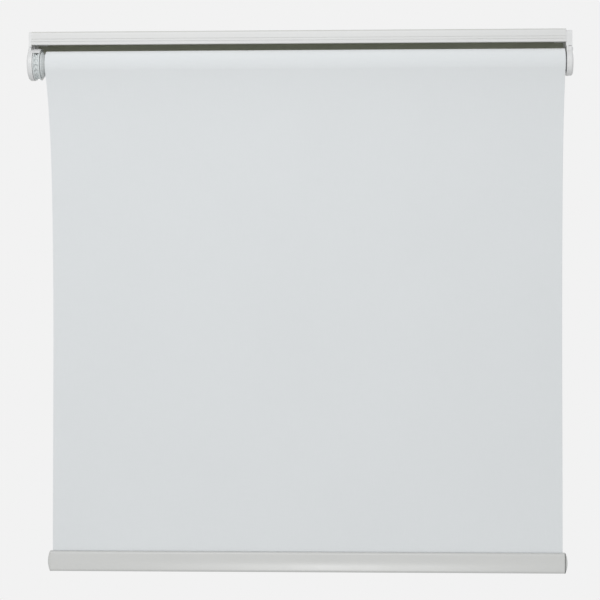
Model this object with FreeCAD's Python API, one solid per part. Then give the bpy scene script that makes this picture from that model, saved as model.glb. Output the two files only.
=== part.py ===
import FreeCAD, Part
import math
import os

# Blackout roller blind with a shallow aluminium headrail, a chain clutch on the left
# and a sprung idle end on the right.
# Millimetres. +Z up, -Y into the room, X along the width.
# The origin is the middle of the line of wall screws, on the wall face.

# Headrail
overall_width = 600.0
rail_depth = 42.2
rail_height = 14.8
rail_top_z = 20.4
rail_wall = 1.4
rail_edge_r = 3.2
rail_corner_r = 0.4
back_web_height = 26.8
lip_height = 2.4
lip_proud = 0.5
lip_return = 4.0
groove_drops = (8.7, 11.4)
groove_depth = 0.3
groove_height = 0.7
screw_port_r = 1.55
screw_port_wall = 1.1
screw_port_drop = 7.0
screw_port_web = 1.2
screw_port_ys = (-20.0, -33.0)

# Fixing holes
fixing_spacing = 400.0
fixing_hole_r = 2.25
ceiling_hole_y = -10.0

# Roller axis
axis_drop = 36.0
axis_y = -32.4

# Brackets and their covers
left_cap = 3.0
right_cap = 6.7
cap_inset = 0.4
seam_gap = 0.5
heel_height = 23.0
right_cap_step = 1.7
tongue_length = 10.0
tongue_height = 9.0
tongue_wall = 1.6
tongue_clearance = 0.15
tongue_corner_r = 0.8
cap_corner_r = 0.8
control_plate = 2.4
control_cover = 2.6
control_r = 17.6
control_seam_drop = 2.2
idle_plate = 2.0
idle_cover = 4.2
idle_r = 15.2
idle_seam_drop = 4.4
plate_back_share = 0.75
neck_setback = 8.0
cover_out = 1.0
cover_round = 2.6
cover_wall = 1.2
cover_rim = 2.0
peg_r = 1.2
peg_length = 1.4
peg_clearance = 0.08
peg_count = 3
peg_circle_share = 0.72
peg_first_deg = 150.0

# Screws of the brackets
screw_r = 1.5
screw_length = 12.0
screw_head_r = 2.9
screw_head = 1.6
screw_slot = 0.7
screw_slot_reach = 1.8
screw_pocket_clearance = 0.15

# Chain wheel and its guard
wheel_r = 16.8
wheel_flange = 1.2
bead_r = 2.25
bead_clearance = 0.1
bead_pitch = 6.0
bead_count = 16
link_groove = 1.5
link_depth = 1.2
wheel_gap = 0.4
wheel_channel_side = 0.15
guard_wall = 0.8
guard_clearance = 0.35
guard_front_deg = 42.0
guard_back_deg = 138.0

# Clutch
spindle_r = 5.0
spindle_flange_r = 7.6
spindle_flange = 1.2
spindle_nose_r = 4.0
spindle_nose = 4.6
spindle_square = 7.0
square_clearance = 0.1
spindle_screw_r = 1.4
spindle_head_r = 4.8
spindle_head = 1.2
spindle_screw_length = 12.0
shaft_clearance = 0.05
recess_clearance = 0.35
spring_wire = 0.8
spring_width = 6.0
spring_gap = 0.8
spring_tail = 1.0
spring_tail_degs = (8.0, 172.0)
spring_tail_half_deg = 4.0
tang_inner_r = 6.1
crown_bore_r = 7.0
tang_clearance = 0.15
tang_deg = 100.0
crown_collar = 5.3
crown_flare_r = 14.6
crown_lip = 0.8
clutch_depth = 19.0
crown_end_wall = 1.9
clip_wire = 0.7
clip_r = 6.0
clip_gap_deg = 70.0
clip_play = 0.3

# Roller tube and the fabric on it
tube_r = 9.5
tube_wall = 0.8
tube_key_width = 1.6
tube_key_height = 1.0
key_clearance = 0.2
plug_clearance = 0.1
collar_r = 9.9
tube_overhang = 0.3
tape_thickness = 0.2
tape_deg = 80.0
tape_clearance = 0.05
fabric_thickness = 0.36
roll_r = 15.0
layer_gap = 0.3

# Idle end
idle_plug_depth = 24.0
idle_collar = 1.0
idle_gap = 0.2
pin_r = 2.5
pin_head_r = 4.0
pin_head = 2.0
pin_reach = 2.8
pin_play = 0.2
pin_chamfer = 0.5
plug_front_wall = 5.4
plug_back_wall = 2.0
idle_wire = 0.7
idle_coil_r = 3.0
idle_coils = 7
idle_spring_play = 0.1
bush_r = 4.5
bush_flange_r = 6.4
bush_flange = 1.2
bush_clearance = 0.1

# Fabric panel
leave_deg = 42.0
wrap_back_deg = 200.0
panel_y = -6.0
panel_bow = 4.5
panel_steps = 14
slope_step = 0.01

# Bottom bar
bar_top_drop = 580.7
bar_height = 22.8
bar_depth = 10.0
bar_overhang = 5.4
bar_cap = 3.5
bar_wall = 1.1
bar_bulge = 1.3
bar_roof = 1.8
bar_nose_r = 3.2
bar_corner_r = 2.0
bar_chamber_r = 0.9
bar_slot = 1.5
keeper_room_width = 4.6
keeper_room_height = 8.6
keeper_thickness = 0.8
keeper_height = 5.0
keeper_drop = 1.0
keeper_bond = 0.05
keeper_bead_r = 1.2
keeper_inset = 3.0
ballast_depth = 4.6
ballast_height = 9.6
ballast_inset = 10.0
bar_cap_dome = 2.3
bar_cap_crown = 1.5
bar_cap_round = 0.4
bar_tongue = 5.0
bar_tongue_clearance = 0.15

# How far a cutter runs past the face that it opens
overrun = 1.0
tongue_corner_r = 0.8
cap_corner_r = 0.8

# Places worked out from the sizes
half_width = overall_width / 2
rail_left = -half_width + left_cap
rail_right = half_width - right_cap
fascia_z = rail_top_z - rail_height
axis_z = rail_top_z - axis_drop
port_z = rail_top_z - screw_port_drop
port_outer_r = screw_port_r + screw_port_wall
control_outer_x = -half_width + control_cover
control_inner_x = control_outer_x + control_plate
idle_outer_x = half_width - idle_cover
idle_inner_x = idle_outer_x - idle_plate
bead_room_r = bead_r + bead_clearance
bead_circle_r = bead_count * bead_pitch / (2 * math.pi)
wheel_core_r = bead_circle_r + bead_clearance
wheel_width = 2 * (wheel_flange + bead_room_r + wheel_channel_side)
wheel_left = control_inner_x + wheel_gap
wheel_right = wheel_left + wheel_width
wheel_face = control_inner_x + spindle_flange + recess_clearance
collar_left = wheel_right + wheel_gap
tube_left = collar_left + crown_collar
tube_right = idle_inner_x - idle_gap - idle_collar
fabric_left = tube_left + tube_overhang
fabric_right = tube_right - tube_overhang
tube_bore_r = tube_r - tube_wall
barrel_r = tube_bore_r - plug_clearance
crown_right = tube_left + clutch_depth
nose_left = crown_right - crown_end_wall - clip_play
clip_left = crown_right + clip_play
clip_groove_r = spindle_nose_r - clip_wire
spindle_right = nose_left + spindle_nose
idle_plug_left = tube_right - idle_plug_depth
pin_front = tube_right + idle_collar - plug_front_wall
pin_tip = idle_inner_x + pin_reach
spring_left = idle_plug_left + plug_back_wall
winding_r = roll_r - fabric_thickness - layer_gap
tape_inner_r = tube_r + tape_clearance
tape_outer_r = tape_inner_r + tape_thickness
winding_bore_r = tape_outer_r + tape_clearance
bar_top = rail_top_z - bar_top_drop
bar_bottom = bar_top - bar_height
bar_left = fabric_left - bar_overhang
bar_right = fabric_right + bar_overhang
bar_front = panel_y - bar_depth / 2
bar_back = panel_y + bar_depth / 2
profile_left = bar_left + bar_cap
profile_right = bar_right - bar_cap
keeper_floor = bar_top - bar_roof - keeper_room_height
panel_end_z = bar_top - bar_roof - keeper_drop - keeper_height
ballast_floor = bar_bottom + bar_wall


def block(x0, x1, y0, y1, z0, z1):
    """A box between two corners."""
    return Part.makeBox(x1 - x0, y1 - y0, z1 - z0, FreeCAD.Vector(x0, y0, z0))


def rod(x0, x1, radius, y=axis_y, z=axis_z):
    """A round bar along X."""
    return Part.makeCylinder(
        radius, x1 - x0, FreeCAD.Vector(x0, y, z), FreeCAD.Vector(1, 0, 0)
    )


def ring(x0, x1, outer, inner, y=axis_y, z=axis_z):
    """A round sleeve along X."""
    return rod(x0, x1, outer, y, z).cut(rod(x0 - overrun, x1 + overrun, inner, y, z))


def polar(radius, degrees, x=0.0):
    """A point on a circle about the roller axis; 0 is the room side, 90 the top."""
    a = math.radians(degrees)
    return FreeCAD.Vector(
        x, axis_y - radius * math.cos(a), axis_z + radius * math.sin(a)
    )


def arc(radius, start, end, x=0.0):
    """An arc about the roller axis, between two angles."""
    middle = polar(radius, (start + end) / 2, x)
    return Part.Arc(polar(radius, start, x), middle, polar(radius, end, x)).toShape()


def sector(x0, x1, outer, inner, start, end):
    """Part of a sleeve about the roller axis, between two angles."""
    edges = [
        arc(outer, start, end, x0),
        Part.makeLine(polar(outer, end, x0), polar(inner, end, x0)),
        arc(inner, end, start, x0),
        Part.makeLine(polar(inner, start, x0), polar(outer, start, x0)),
    ]
    face = Part.Face(Part.Wire(edges))
    return face.extrude(FreeCAD.Vector(x1 - x0, 0, 0))


def outline(corners, x):
    """A closed outline in the YZ plane through corners (y, z, corner radius)."""
    count = len(corners)
    starts, ends, curves = [], [], []
    for i in range(count):
        here = FreeCAD.Vector(x, corners[i][0], corners[i][1])
        before = FreeCAD.Vector(x, corners[i - 1][0], corners[i - 1][1])
        after = FreeCAD.Vector(x, *corners[(i + 1) % count][:2])
        radius = corners[i][2]
        to_before = (before - here).normalize()
        to_after = (after - here).normalize()
        half = to_before.getAngle(to_after) / 2
        if radius <= 0:
            starts.append(here)
            ends.append(here)
            curves.append(None)
            continue
        cut = radius / math.tan(half)
        first = here + to_before * cut
        last = here + to_after * cut
        inward = (to_before + to_after).normalize()
        middle = here + inward * (radius / math.sin(half) - radius)
        starts.append(first)
        ends.append(last)
        curves.append(Part.Arc(first, middle, last).toShape())
    edges = []
    for i in range(count):
        if curves[i] is not None:
            edges.append(curves[i])
        following = starts[(i + 1) % count]
        if ends[i].distanceToPoint(following) > 1e-6:
            edges.append(Part.makeLine(ends[i], following))
    return Part.Wire(edges)


def prism(corners, x0, x1):
    """An outline carried along X."""
    face = Part.Face(outline(corners, x0))
    return face.extrude(FreeCAD.Vector(x1 - x0, 0, 0))


def rim_edges(shape, x):
    """The edges of a shape that lie in one plane across X."""
    found = []
    for edge in shape.Edges:
        box = edge.BoundBox
        if abs(box.XMin - x) < 1e-6 and abs(box.XMax - x) < 1e-6:
            found.append(edge)
    return found


def joined(shapes):
    """Touching or overlapping solids as one, with shared faces merged."""
    return shapes[0].multiFuse(shapes[1:]).removeSplitter()


def port_bodies(x0, x1, room):
    """The screw ports with their webs to the rail's top, or room for them."""
    bodies = []
    half = screw_port_web / 2 + room
    for y in screw_port_ys:
        bodies.append(rod(x0, x1, port_outer_r + room, y, port_z))
        web_top = rail_top_z - rail_wall / 2
        bodies.append(block(x0, x1, y - half, y + half, port_z, web_top))
    return bodies


def headrail_profile():
    """One extrusion: fascia with a lip, top, a longer back web and two screw ports."""
    front = -rail_depth
    inner_front = front + rail_wall
    corners = [
        (0, rail_top_z - back_web_height, rail_corner_r),
        (0, rail_top_z, rail_corner_r),
        (front, rail_top_z, rail_edge_r),
        (front, fascia_z + lip_height, 0),
        (front - lip_proud, fascia_z + lip_height - lip_proud, 0),
        (front - lip_proud, fascia_z, rail_corner_r),
        (front + lip_return, fascia_z, rail_corner_r),
        (front + lip_return, fascia_z + rail_wall, rail_corner_r),
        (inner_front, fascia_z + rail_wall, rail_corner_r),
        (inner_front, rail_top_z - rail_wall, rail_edge_r - rail_wall),
        (-rail_wall, rail_top_z - rail_wall, rail_corner_r),
        (-rail_wall, rail_top_z - back_web_height, rail_corner_r),
    ]
    profile = prism(corners, rail_left, rail_right)
    profile = joined([profile] + port_bodies(rail_left, rail_right, 0.0))
    cutters = [
        rod(rail_left - overrun, rail_right + overrun, screw_port_r, y, port_z)
        for y in screw_port_ys
    ]
    for drop in groove_drops:
        low = rail_top_z - drop - groove_height / 2
        cutters.append(
            block(
                rail_left - overrun,
                rail_right + overrun,
                front - overrun,
                front + groove_depth,
                low,
                low + groove_height,
            )
        )
    for x in (-fixing_spacing / 2, fixing_spacing / 2):
        cutters.append(
            Part.makeCylinder(
                fixing_hole_r,
                3 * rail_wall,
                FreeCAD.Vector(x, -2 * rail_wall, 0),
                FreeCAD.Vector(0, 1, 0),
            )
        )
        cutters.append(
            Part.makeCylinder(
                fixing_hole_r,
                3 * rail_wall,
                FreeCAD.Vector(x, ceiling_hole_y, rail_top_z - 2 * rail_wall),
            )
        )
    return profile.cut(cutters)


def plate_corners(radius, seam_z):
    """Where the straight neck of a bracket plate runs, above its round end."""
    back = axis_y + radius * plate_back_share
    front = -rail_depth + cap_inset
    return front, back, seam_z


def bracket_plate(x0, x1, radius, top_z, setback=0.0):
    """A round plate about the axis with a neck that rises to the rail."""
    front, back, top = plate_corners(radius, top_z)
    neck = block(x0, x1, front + setback, back, axis_z, top)
    return joined([rod(x0, x1, radius), neck])


def tongue(x_cap, direction):
    """The hollow plug of a bracket that slides into the end of the rail."""
    gap = rail_wall + tongue_clearance
    front = -rail_depth + gap
    top = rail_top_z - gap
    low = top - tongue_height
    x0, x1 = sorted((x_cap, x_cap + direction * tongue_length))
    corners = [
        (-gap, low, tongue_corner_r),
        (-gap, top, tongue_corner_r),
        (front, top, rail_edge_r - rail_wall),
        (front, low, tongue_corner_r),
    ]
    body = prism(corners, x0, x1)
    x2, x3 = sorted((x_cap, x_cap + direction * (tongue_length + overrun)))
    hollow = block(
        x2,
        x3,
        front + tongue_wall,
        -gap - tongue_wall,
        low + tongue_wall,
        top - tongue_wall,
    )
    return body.cut([hollow] + port_bodies(x2, x3, tongue_clearance))


def screw_pockets(x_out, direction):
    """Room for the bracket screws, from the outer face of a cap inwards."""
    cutters = []
    depth = screw_head + screw_pocket_clearance
    x0, x1 = sorted((x_out - direction, x_out + direction * depth))
    x2, x3 = sorted((x_out - direction, x_out + direction * 2 * right_cap))
    for y in screw_port_ys:
        cutters.append(rod(x0, x1, screw_head_r + screw_pocket_clearance, y, port_z))
        cutters.append(rod(x2, x3, screw_r + screw_pocket_clearance, y, port_z))
    return cutters


def cap_plate(x0, x1, top_inset, seam_drop, radius):
    """The end cap over the rail, its stretch down to the cover, and a heel behind."""
    front = -rail_depth + cap_inset
    top = rail_top_z - top_inset
    cap = prism(
        [
            (-cap_inset, fascia_z, cap_corner_r),
            (-cap_inset, top, cap_corner_r),
            (front, top, rail_edge_r),
            (front, fascia_z, 0),
        ],
        x0,
        x1,
    )
    back = axis_y + radius * plate_back_share
    root = fascia_z + cap_corner_r
    drop = block(x0, x1, front, back, fascia_z - seam_drop, root)
    heel_z = rail_top_z - heel_height
    heel = prism(
        [
            (-cap_inset, heel_z, cap_corner_r),
            (-cap_inset, root, 0),
            (back + seam_gap, root, 0),
            (back + seam_gap, heel_z, cap_corner_r),
        ],
        x0,
        x1,
    )
    return joined([cap, drop, heel])


def peg_places(radius):
    """Angles and circle of the pegs that hold a cover on its bracket."""
    circle = radius * peg_circle_share
    return [(circle, peg_first_deg + 360.0 / peg_count * i) for i in range(peg_count)]


def peg_rods(x0, x1, radius, size):
    """Round pegs along X for a cover, or the holes that they go into."""
    rods = []
    for circle, degrees in peg_places(radius):
        at = polar(circle, degrees)
        rods.append(rod(x0, x1, size, at.y, at.z))
    return rods


def control_bracket():
    """Left bracket: end cap, neck, round plate with a square hole, and tongue."""
    cap = cap_plate(-half_width, rail_left, cap_inset, control_seam_drop, control_r)
    plate = bracket_plate(
        control_outer_x,
        control_inner_x,
        control_r,
        fascia_z - cap_inset,
        neck_setback,
    )
    bracket = joined([cap, plate, tongue(rail_left, 1)])
    side = spindle_square / 2 + square_clearance
    hole = block(
        control_outer_x - overrun,
        control_inner_x + overrun,
        axis_y - side,
        axis_y + side,
        axis_z - side,
        axis_z + side,
    )
    pegs = peg_rods(
        control_outer_x - overrun,
        control_outer_x + peg_length + peg_clearance,
        control_r,
        peg_r + peg_clearance,
    )
    return bracket.cut([hole] + pegs + screw_pockets(-half_width, 1))


def cover_shell(x_seat, x_out, radius, seam_z, setback=0.0):
    """A domed cover over a bracket plate, hollow on the inside, with pegs."""
    direction = 1 if x_out > x_seat else -1
    x0, x1 = sorted((x_seat, x_out))
    shell = bracket_plate(x0, x1, radius, seam_z)
    shell = shell.makeFillet(cover_round, rim_edges(shell, x_out))
    x2, x3 = sorted((x_seat - direction, x_out - direction * cover_wall))
    front, back, top = plate_corners(radius, seam_z)
    pocket_r = radius - cover_rim
    pocket_front = front + setback + cover_rim
    pocket_neck = block(
        x2, x3, pocket_front, back - cover_rim, axis_z, top - cover_rim
    )
    pocket = joined([rod(x2, x3, pocket_r), pocket_neck])
    x4, x5 = sorted((x_seat - direction * peg_length, x_out - direction * cover_wall))
    return joined([shell.cut(pocket)] + peg_rods(x4, x5, radius, peg_r))


def control_bracket_cover():
    """Left cover, under the end cap, which it stands out from."""
    seam_z = fascia_z - control_seam_drop - seam_gap
    outside = -half_width - cover_out
    return cover_shell(control_outer_x, outside, control_r, seam_z, neck_setback)


def idle_bracket():
    """Right bracket: a thicker end cap, round plate with the bush hole, and tongue."""
    cap = cap_plate(rail_right, half_width, right_cap_step, idle_seam_drop, idle_r)
    plate = bracket_plate(
        idle_inner_x, idle_outer_x, idle_r, fascia_z - cap_inset
    )
    bracket = joined([cap, plate, tongue(rail_right, -1)])
    hole = rod(idle_inner_x - overrun, idle_outer_x + overrun, bush_r + bush_clearance)
    pegs = peg_rods(
        idle_outer_x - peg_length - peg_clearance,
        idle_outer_x + overrun,
        idle_r,
        peg_r + peg_clearance,
    )
    return bracket.cut([hole] + pegs + screw_pockets(half_width, -1))


def idle_bracket_cover():
    """Right cover, under the end cap, which it stands out from."""
    seam_z = fascia_z - idle_seam_drop - seam_gap
    outside = half_width + cover_out
    return cover_shell(idle_outer_x, outside, idle_r, seam_z)


def bracket_screw(x_out, direction, y):
    """One countersunk screw through a cap into a port of the rail."""
    x_head = x_out + direction * screw_pocket_clearance
    x_shank = x_head + direction * screw_head
    x_tip = x_shank + direction * screw_length
    head = rod(*sorted((x_head, x_shank)), screw_head_r, y, port_z)
    shank = rod(*sorted((x_shank, x_tip)), screw_r, y, port_z)
    slot_x = sorted((x_head - direction, x_head + direction * screw_slot))
    screw = joined([head, shank])
    half = screw_slot / 2
    reach = screw_slot_reach
    slots = [
        block(*slot_x, y - half, y + half, port_z - reach, port_z + reach),
        block(*slot_x, y - reach, y + reach, port_z - half, port_z + half),
    ]
    return screw.cut(slots)


def bracket_screws():
    """The four alike screws that hold the brackets on the rail."""
    screws = []
    for y in screw_port_ys:
        screws.append(bracket_screw(-half_width, 1, y))
        screws.append(bracket_screw(half_width, -1, y))
    return Part.makeCompound(screws)


def chain_guard():
    """A curved hood over the top of the chain wheel, seated on the bracket plate."""
    inner = wheel_r + guard_clearance
    return sector(
        control_inner_x,
        wheel_right + wheel_gap / 2,
        inner + guard_wall,
        inner,
        guard_front_deg,
        guard_back_deg,
    )


def chain_wheel():
    """Sprocket for a bead chain: pockets between two flanges, and a drive tang."""
    wheel = joined(
        [
            rod(wheel_left, wheel_left + wheel_flange, wheel_r),
            rod(wheel_left, wheel_right, wheel_core_r),
            rod(wheel_right - wheel_flange, wheel_right, wheel_r),
            rod(wheel_right, collar_left + wheel_gap, crown_bore_r - shaft_clearance),
            sector(
                wheel_right - wheel_flange,
                crown_right - crown_end_wall - wheel_gap,
                crown_bore_r - shaft_clearance,
                tang_inner_r,
                90.0 - tang_deg / 2,
                90.0 + tang_deg / 2,
            ),
        ]
    )
    middle = (wheel_left + wheel_right) / 2
    bore_end = collar_left + 2 * wheel_gap
    cutters = [
        rod(wheel_left - overrun, bore_end, spindle_r + shaft_clearance),
        rod(wheel_left - overrun, wheel_face, spindle_flange_r + recess_clearance),
        ring(
            middle - link_groove / 2,
            middle + link_groove / 2,
            wheel_r + overrun,
            wheel_core_r - link_depth,
        ),
    ]
    for i in range(bead_count):
        at = polar(bead_circle_r, 360.0 / bead_count * (i + 0.5), middle)
        cutters.append(Part.makeSphere(bead_room_r, at))
    return wheel.cut(cutters)


def clutch_spindle():
    """Fixed post of the clutch, keyed into the left bracket by its square end."""
    half = spindle_square / 2
    square = block(
        control_outer_x,
        control_inner_x,
        axis_y - half,
        axis_y + half,
        axis_z - half,
        axis_z + half,
    )
    flange_end = control_inner_x + spindle_flange
    post = joined(
        [
            square,
            rod(control_inner_x, flange_end, spindle_flange_r),
            rod(control_inner_x, nose_left, spindle_r),
            rod(nose_left, spindle_right, spindle_nose_r),
        ]
    )
    groove = ring(
        clip_left, clip_left + clip_wire, spindle_nose_r + overrun, clip_groove_r
    )
    bore = rod(
        control_outer_x - overrun,
        control_outer_x + spindle_screw_length + overrun,
        spindle_screw_r + shaft_clearance,
    )
    return post.cut([groove, bore])


def spindle_screw():
    """Screw that draws the spindle against the bracket, under the cover."""
    head = rod(control_outer_x - spindle_head, control_outer_x, spindle_head_r)
    shank = rod(
        control_outer_x, control_outer_x + spindle_screw_length, spindle_screw_r
    )
    half = screw_slot / 2
    slot = block(
        control_outer_x - 2 * spindle_head,
        control_outer_x - spindle_head / 2,
        axis_y - half,
        axis_y + half,
        axis_z - spindle_head_r / 2,
        axis_z + spindle_head_r / 2,
    )
    return joined([head, shank]).cut(slot)


def spindle_clip():
    """Open retaining clip in the groove of the spindle's nose."""
    return sector(
        clip_left,
        clip_left + clip_wire,
        clip_r,
        clip_groove_r,
        -90.0 + clip_gap_deg / 2,
        270.0 - clip_gap_deg / 2,
    )


def brake_springs():
    """Two close-wound wrap springs on the spindle, each with a bent tail."""
    inner = spindle_r + shaft_clearance
    outer = inner + spring_wire
    springs = []
    first = collar_left + 2 * wheel_gap + spring_gap
    for i in range(2):
        left = first + i * (spring_width + spring_gap)
        coil = ring(left, left + spring_width, outer, inner)
        tail_deg = spring_tail_degs[i]
        tail = sector(
            left,
            left + spring_wire,
            outer + spring_tail,
            outer - spring_wire / 2,
            tail_deg - spring_tail_half_deg,
            tail_deg + spring_tail_half_deg,
        )
        springs.append(joined([coil, tail]))
    return Part.makeCompound(springs)


def key_slot(x0, x1):
    """Slot along a plug for the key inside the roller tube."""
    half = tube_key_width / 2 + key_clearance
    low = axis_z + tube_bore_r - tube_key_height - key_clearance
    return block(x0, x1, axis_y - half, axis_y + half, low, axis_z + tube_r)


def drive_crown():
    """Sleeve that the clutch turns: a flared collar and a keyed barrel in the tube."""
    flare_left = collar_left + crown_lip
    flare = Part.makeCone(
        crown_flare_r,
        collar_r,
        tube_left - flare_left,
        FreeCAD.Vector(flare_left, axis_y, axis_z),
        FreeCAD.Vector(1, 0, 0),
    )
    crown = joined(
        [
            rod(collar_left, flare_left, crown_flare_r),
            flare,
            rod(collar_left, crown_right, barrel_r),
        ]
    )
    dog = sector(
        tube_left,
        crown_right - crown_end_wall,
        crown_bore_r,
        tang_inner_r + tang_clearance,
        270.0 - tang_deg / 2,
        270.0 + tang_deg / 2,
    )
    cutters = [
        rod(collar_left - overrun, crown_right - crown_end_wall, crown_bore_r),
        rod(collar_left, crown_right + overrun, spindle_nose_r + shaft_clearance),
    ]
    crown = crown.cut(cutters)
    crown = joined([crown, dog])
    return crown.cut(key_slot(tube_left, crown_right + overrun))


def roller_tube():
    """Thin aluminium tube with one inner key along its length."""
    half = tube_key_width / 2
    tube = ring(tube_left, tube_right, tube_r, tube_bore_r)
    key = block(
        tube_left,
        tube_right,
        axis_y - half,
        axis_y + half,
        axis_z + tube_bore_r - tube_key_height,
        axis_z + tube_r - tube_wall / 2,
    )
    return joined([tube, key])


def fabric_tape():
    """Double-sided tape that holds the fabric's inner end on the tube."""
    return sector(
        fabric_left,
        fabric_right,
        tape_outer_r,
        tape_inner_r,
        90.0 - tape_deg / 2,
        90.0 + tape_deg / 2,
    )


def fabric_roll():
    """The wound fabric that turns with the tube."""
    return ring(fabric_left, fabric_right, winding_r, winding_bore_r)


def idle_plug():
    """Sleeve in the right end of the tube, which houses the sprung pin."""
    plug = joined(
        [
            rod(idle_plug_left, tube_right + idle_collar, barrel_r),
            rod(tube_right, tube_right + idle_collar, collar_r),
        ]
    )
    room = rod(spring_left, pin_front, pin_head_r + shaft_clearance)
    bore = rod(spring_left, tube_right + idle_collar + overrun, pin_r + shaft_clearance)
    return plug.cut([room, bore, key_slot(idle_plug_left - overrun, tube_right)])


def idle_pin():
    """Pin that springs into the bush of the right bracket."""
    head_right = pin_front - pin_play
    head = rod(head_right - pin_head, head_right, pin_head_r)
    shank = rod(head_right, pin_tip, pin_r)
    pin = joined([head, shank])
    return pin.makeChamfer(pin_chamfer, rim_edges(pin, pin_tip))


def tangent_arc(start, corner, end):
    """An arc between two points, whose tangents there both pass through a corner."""
    middle = (start + end) / 2
    half = start.distanceToPoint(middle)
    turn = math.acos(half / start.distanceToPoint(corner))
    share = math.tan(turn / 2) / math.tan(turn)
    return Part.Arc(start, middle + (corner - middle) * share, end).toShape()


def biarc(start, leave, end, arrive):
    """Two arcs that join two points and keep the unit direction given at each."""
    gap = end - start
    along = gap.dot(leave + arrive)
    bend = 2 * (1 - leave.dot(arrive))
    reach = (math.sqrt(along**2 + bend * gap.dot(gap)) - along) / bend
    first = start + leave * reach
    second = end - arrive * reach
    join = (first + second) / 2
    return [tangent_arc(start, first, join), tangent_arc(join, second, end)]


def idle_spring():
    """Coil spring behind the head of the idle pin, on biarcs of a quarter turn."""
    left = spring_left + idle_wire / 2 + idle_spring_play
    right = pin_front - pin_play - pin_head - idle_wire / 2 - idle_spring_play
    rise = (right - left) / (2 * math.pi * idle_coils)
    points = []
    directions = []
    for i in range(4 * idle_coils + 1):
        turn = math.pi / 2 * i
        side = FreeCAD.Vector(0, -math.cos(turn), math.sin(turn))
        ahead = FreeCAD.Vector(0, math.sin(turn), math.cos(turn))
        middle = FreeCAD.Vector(left + rise * turn, axis_y, axis_z)
        points.append(middle + side * idle_coil_r)
        direction = ahead * idle_coil_r + FreeCAD.Vector(rise, 0, 0)
        directions.append(direction.normalize())
    edges = []
    for i in range(4 * idle_coils):
        edges += biarc(points[i], directions[i], points[i + 1], directions[i + 1])
    circle = Part.makeCircle(idle_wire / 2, points[0], directions[0])
    return Part.Wire(edges).makePipeShell([Part.Wire(circle)], True, False)


def idle_bush():
    """Flanged bearing in the right bracket, which carries the pin."""
    bush = joined(
        [
            rod(idle_inner_x, idle_outer_x, bush_r),
            rod(idle_outer_x, idle_outer_x + bush_flange, bush_flange_r),
        ]
    )
    bore_end = idle_outer_x + 2 * bush_flange
    return bush.cut(rod(idle_inner_x - overrun, bore_end, pin_r + shaft_clearance))


def panel_offset(drop):
    """How far behind the roll's front the fabric hangs, at a drop below the axis."""
    leave = math.radians(leave_deg)
    left_at = roll_r * math.sin(leave)
    gone = roll_r * (1 - math.cos(leave))
    rest = (panel_y - (axis_y - roll_r)) - gone
    ease = rest * (1 - math.exp(-(drop - left_at) * math.tan(leave) / rest))
    fall = (drop - left_at) / (axis_z - panel_end_z - left_at)
    return gone + ease + panel_bow * math.sin(math.pi * fall) ** 2


def panel_side(shift):
    """Points along one face of the hanging fabric, shift away from its room face."""
    low = axis_z - panel_end_z
    high = roll_r * math.sin(math.radians(leave_deg))
    points = []
    for i in range(panel_steps + 1):
        share = i / panel_steps
        drop = high + (low - high) * share**2
        slope = (panel_offset(drop + slope_step) - panel_offset(drop)) / slope_step
        length = math.hypot(1.0, slope)
        y = axis_y - roll_r + panel_offset(drop) + shift / length
        z = axis_z - drop + shift * slope / length
        points.append(FreeCAD.Vector(fabric_left, y, z))
    return points


def fabric_panel():
    """The hanging fabric: the outermost layer on the roll, then the drop to the bar."""
    front_points = panel_side(0.0)
    back_points = panel_side(fabric_thickness)
    front = Part.BSplineCurve()
    front.interpolate(front_points)
    back = Part.BSplineCurve()
    back.interpolate(back_points)
    inner_r = roll_r - fabric_thickness
    x = fabric_left
    outer_arc = Part.Arc(
        polar(roll_r, wrap_back_deg, x), polar(roll_r, 90, x), front_points[0]
    )
    inner_arc = Part.Arc(
        polar(inner_r, wrap_back_deg, x), polar(inner_r, 90, x), back_points[0]
    )
    edges = [
        outer_arc.toShape(),
        front.toShape(),
        Part.makeLine(front_points[-1], back_points[-1]),
        back.toShape(),
        inner_arc.toShape(),
        Part.makeLine(polar(inner_r, wrap_back_deg, x), polar(roll_r, wrap_back_deg, x)),
    ]
    face = Part.Face(Part.Wire(Part.__sortEdges__(edges)))
    return face.extrude(FreeCAD.Vector(fabric_right - fabric_left, 0, 0))


def bar_body(x0, x1):
    """The outline of the bottom bar, flat behind and bulging in front, along X."""
    flat_front = bar_front + bar_bulge
    top = FreeCAD.Vector(x0, flat_front, bar_top)
    low = FreeCAD.Vector(x0, flat_front, bar_bottom)
    bulge = FreeCAD.Vector(x0, bar_front, (bar_top + bar_bottom) / 2)
    back_low = FreeCAD.Vector(x0, bar_back, bar_bottom)
    back_top = FreeCAD.Vector(x0, bar_back, bar_top)
    edges = [
        Part.Arc(top, bulge, low).toShape(),
        Part.makeLine(low, back_low),
        Part.makeLine(back_low, back_top),
        Part.makeLine(back_top, top),
    ]
    body = Part.Face(Part.Wire(edges)).extrude(FreeCAD.Vector(x1 - x0, 0, 0))
    long_edges = [edge for edge in body.Edges if edge.BoundBox.XLength > 1e-3]
    nose_edges = [edge for edge in long_edges if edge.BoundBox.YMax < panel_y]
    rear_edges = [edge for edge in long_edges if edge.BoundBox.YMin > panel_y]
    return body.makeFillet(bar_nose_r, nose_edges).makeFillet(bar_corner_r, rear_edges)


def lower_chamber(x0, x1, clearance=0.0):
    """The closed chamber of the bar that holds the ballast, rounded under the nose."""
    y0 = bar_front + bar_bulge + bar_wall + clearance
    y1 = bar_back - bar_wall - clearance
    z0 = ballast_floor + clearance
    z1 = keeper_floor - bar_wall - clearance
    corners = [(y0, z0, bar_chamber_r), (y1, z0, 0), (y1, z1, 0), (y0, z1, 0)]
    return prism(corners, x0, x1)


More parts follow.
